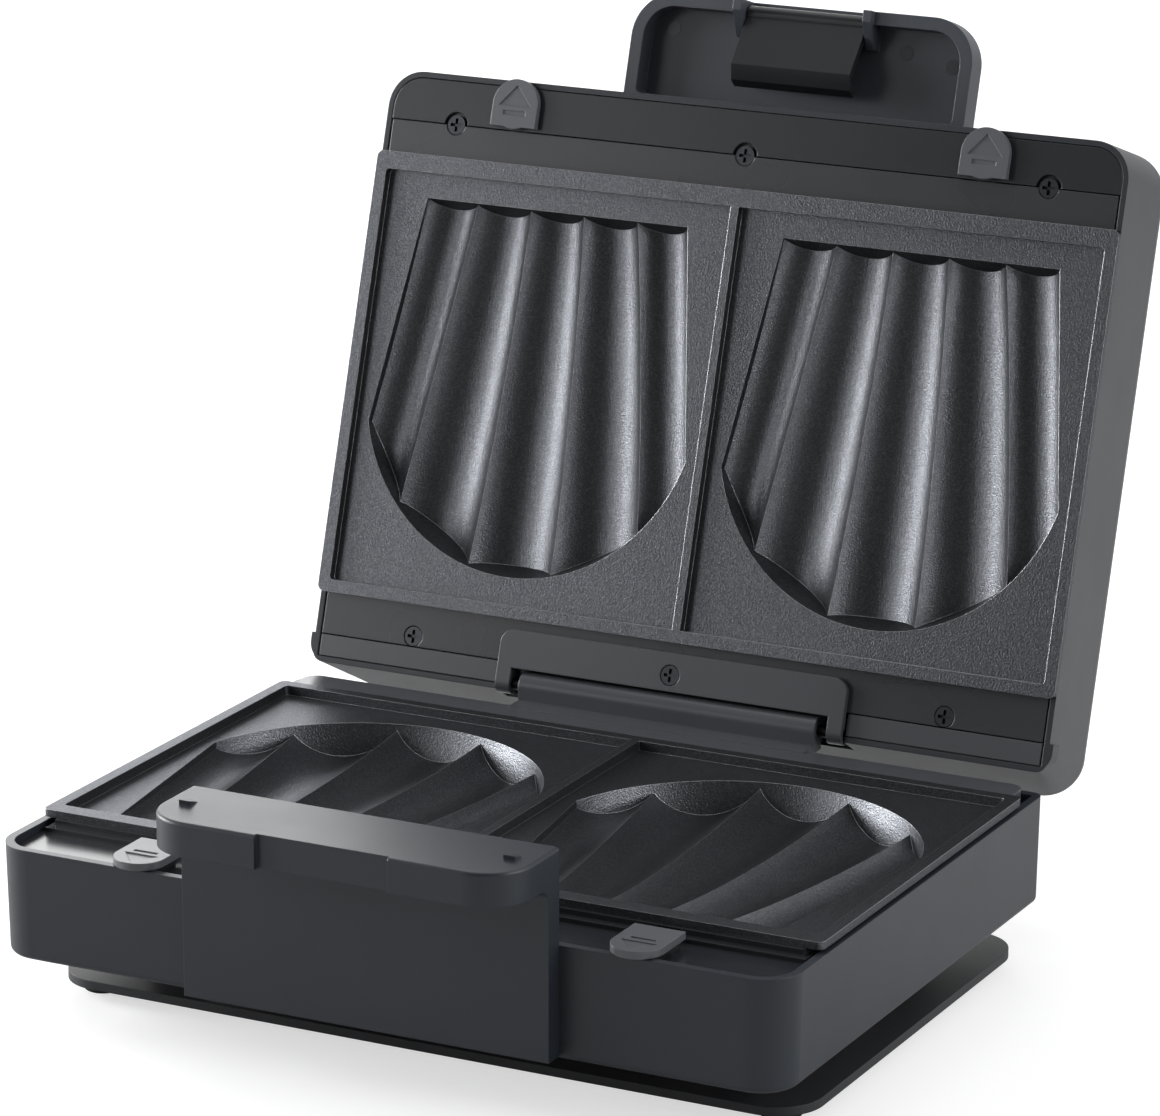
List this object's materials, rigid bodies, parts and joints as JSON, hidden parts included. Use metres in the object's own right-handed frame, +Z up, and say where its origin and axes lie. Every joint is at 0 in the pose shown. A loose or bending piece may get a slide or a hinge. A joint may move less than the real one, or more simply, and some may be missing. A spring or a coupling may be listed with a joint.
{
  "type": "waffle maker",
  "caption": "Open shell sandwich waffle maker: low base and hinged lid with fluted shell moulds, shelf handle, tongue handle with latch clip, release tabs and cord wrap plate.",
  "frame": {"origin": "centre of the whole object's box with the lid open, on the table plane under the feet", "axes": "+X to the right seen from the front, +Y from the handle to the hinge, +Z up"},
  "size_m": [0.285, 0.3588, 0.2952],
  "materials": {
    "charcoal_plastic": "fine moulded texture",
    "satin_trim_plastic": "satin",
    "tab_plastic": "satin",
    "plate_coating": "dark non-stick coating with metal flecks",
    "steel": "plain",
    "sheet_steel": "pressed sheet",
    "foot_rubber": "matte",
    "black_insulation": "matte",
    "grey_ceramic": "matte"
  },
  "bodies": {
    "base": {"base_shell": "charcoal_plastic", "base_frame": "satin_trim_plastic", "hinge_carrier": "satin_trim_plastic", "lower_plate": "plate_coating", "lower_heat_tray": "sheet_steel", "lower_element": "steel", "lower_element_saddles": "sheet_steel", "thermostat": "grey_ceramic", "thermal_fuse": "steel", "terminal_block": "grey_ceramic", "base_wiring": "black_insulation", "cord_gland": "black_insulation", "bottom_cover": "charcoal_plastic", "cover_screws": "steel", "cord_wrap_plate": "charcoal_plastic", "wrap_screws": "steel", "rubber_feet": "foot_rubber", "lower_handle": "charcoal_plastic", "handle_screws": "steel"},
    "lid": {"lid_shell": "charcoal_plastic", "lid_front_trim": "satin_trim_plastic", "lid_frame": "satin_trim_plastic", "lid_rear_trim": "satin_trim_plastic", "lid_screws": "steel", "hinge_bracket": "satin_trim_plastic", "hinge_pins": "steel", "upper_plate": "plate_coating", "upper_heat_tray": "sheet_steel", "upper_element": "steel", "upper_element_saddles": "sheet_steel", "lid_wiring": "black_insulation", "lid_handle": "charcoal_plastic", "latch_pin": "steel", "latch_spring": "steel"},
    "latch": {"latch_clip": "tab_plastic"},
    "base_tab_left": {"base_release_tab_left": "tab_plastic"},
    "base_tab_right": {"base_release_tab_right": "tab_plastic"},
    "lid_tab_left": {"lid_release_tab_left": "tab_plastic"},
    "lid_tab_right": {"lid_release_tab_right": "tab_plastic"}
  },
  "joints": [
    {"name": "lid_hinge", "type": "hinge", "parent": "base", "child": "lid", "pos_m": [0, 0.06445, 0.0664], "axis": [1, 0, 0], "range_deg": [0, 107.5]},
    {"name": "latch_pivot", "type": "hinge", "parent": "lid", "child": "latch", "pos_m": [0, 0.17291, 0.28892], "axis": [-1, 0, 0], "range_deg": [0, 85], "stiffness_Nm_per_rad": 0.004, "springref_deg": -34.38},
    {"name": "base_tab_left_slide", "type": "slide", "parent": "base", "child": "base_tab_left", "axis": [0, -1, 0], "range_m": [0, 0.004], "stiffness_N_per_m": 300, "springref_m": -0.002},
    {"name": "base_tab_right_slide", "type": "slide", "parent": "base", "child": "base_tab_right", "axis": [0, -1, 0], "range_m": [0, 0.004], "stiffness_N_per_m": 300, "springref_m": -0.002},
    {"name": "lid_tab_left_slide", "type": "slide", "parent": "lid", "child": "lid_tab_left", "axis": [0, 0.3024, 0.9532], "range_m": [0, 0.004], "stiffness_N_per_m": 300, "springref_m": -0.002},
    {"name": "lid_tab_right_slide", "type": "slide", "parent": "lid", "child": "lid_tab_right", "axis": [0, 0.3024, 0.9532], "range_m": [0, 0.004], "stiffness_N_per_m": 300, "springref_m": -0.002}
  ]
}
